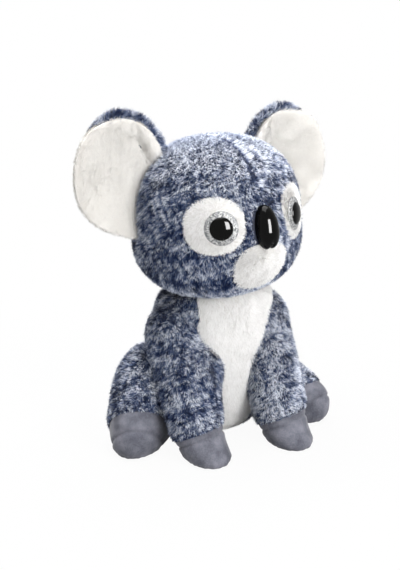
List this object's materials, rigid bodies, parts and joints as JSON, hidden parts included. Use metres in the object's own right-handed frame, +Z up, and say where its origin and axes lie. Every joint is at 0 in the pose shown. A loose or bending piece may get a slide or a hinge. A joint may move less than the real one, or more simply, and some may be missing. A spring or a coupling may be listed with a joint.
{
  "type": "plush koala toy",
  "caption": "Sitting plush koala with furred skin, white chest, chin and ear linings, velour paws, domed plastic eyes and nose, and softly hinged head, ears and limbs.",
  "frame": {"origin": "middle of the flat seat that the toy rests on, on the floor", "axes": "+Z up, -Y the way the body faces, +X towards the toy's left"},
  "size_m": [0.2425, 0.1519, 0.2835],
  "materials": {
    "blue_fur": "long pile fur fabric, dark at the roots and frosted at the tips",
    "white_plush": "short dense plush",
    "ear_lining": "smooth short velboa",
    "grey_velour": "brushed velour",
    "fibre_stuffing": "loose white fibre",
    "black_gloss_plastic": "moulded high gloss",
    "silver_glitter": "silver glitter under clear plastic",
    "white_nylon": "moulded matt"
  },
  "bodies": {
    "torso": {"torso_skin": "blue_fur", "torso_stuffing": "fibre_stuffing", "chest_panel": "white_plush"},
    "neck": {"neck_stuffing": "fibre_stuffing"},
    "head": {"head_skin": "blue_fur", "head_stuffing": "fibre_stuffing", "chin_patch": "white_plush", "nose": "black_gloss_plastic", "nose_washer": "white_nylon", "eye_patch_right": "white_plush", "eye_iris_right": "silver_glitter", "eye_dome_right": "black_gloss_plastic", "eye_washer_right": "white_nylon", "eye_patch_left": "white_plush", "eye_iris_left": "silver_glitter", "eye_dome_left": "black_gloss_plastic", "eye_washer_left": "white_nylon"},
    "ear_right": {"ear_back_right": "blue_fur", "ear_lining_right": "ear_lining"},
    "ear_left": {"ear_back_left": "blue_fur", "ear_lining_left": "ear_lining"},
    "arm_right": {"arm_skin_right": "blue_fur", "arm_stuffing_right": "fibre_stuffing", "paw_right": "grey_velour"},
    "arm_left": {"arm_skin_left": "blue_fur", "arm_stuffing_left": "fibre_stuffing", "paw_left": "grey_velour"},
    "leg_right": {"leg_skin_right": "blue_fur", "leg_stuffing_right": "fibre_stuffing", "foot_right": "grey_velour"},
    "leg_left": {"leg_skin_left": "blue_fur", "leg_stuffing_left": "fibre_stuffing", "foot_left": "grey_velour"}
  },
  "joints": [
    {"name": "neck_turn", "type": "hinge", "parent": "torso", "child": "neck", "pos_m": [0, -0.0185, 0.119], "axis": [0, 0, 1], "range_deg": [-20, 20], "stiffness_Nm_per_rad": 0.6},
    {"name": "head_nod", "type": "hinge", "parent": "neck", "child": "head", "pos_m": [0, -0.0185, 0.119], "axis": [0.9921, 0.1253, 0], "range_deg": [-10, 14], "stiffness_Nm_per_rad": 1.2},
    {"name": "ear_flex_right", "type": "hinge", "parent": "head", "child": "ear_right", "pos_m": [-0.06585, -0.01107, 0.23338], "axis": [0.1825, 0.0231, 0.9829], "range_deg": [-15, 25], "stiffness_Nm_per_rad": 0.05},
    {"name": "ear_flex_left", "type": "hinge", "parent": "head", "child": "ear_left", "pos_m": [0.04875, 0.00341, 0.22822], "axis": [0.2967, 0.0375, -0.9542], "range_deg": [-15, 25], "stiffness_Nm_per_rad": 0.05},
    {"name": "shoulder_lift_right", "type": "hinge", "parent": "torso", "child": "arm_right", "pos_m": [-0.0415, -0.018, 0.092], "axis": [-1, 0, 0], "range_deg": [0, 45], "stiffness_Nm_per_rad": 0.12},
    {"name": "shoulder_lift_left", "type": "hinge", "parent": "torso", "child": "arm_left", "pos_m": [0.0415, -0.018, 0.092], "axis": [-1, 0, 0], "range_deg": [0, 45], "stiffness_Nm_per_rad": 0.12},
    {"name": "hip_splay_right", "type": "hinge", "parent": "torso", "child": "leg_right", "pos_m": [-0.053, 0.006, 0.04], "axis": [0, 0, -1], "range_deg": [0, 30], "stiffness_Nm_per_rad": 0.12},
    {"name": "hip_splay_left", "type": "hinge", "parent": "torso", "child": "leg_left", "pos_m": [0.053, 0.006, 0.04], "axis": [0, 0, 1], "range_deg": [0, 30], "stiffness_Nm_per_rad": 0.12}
  ]
}
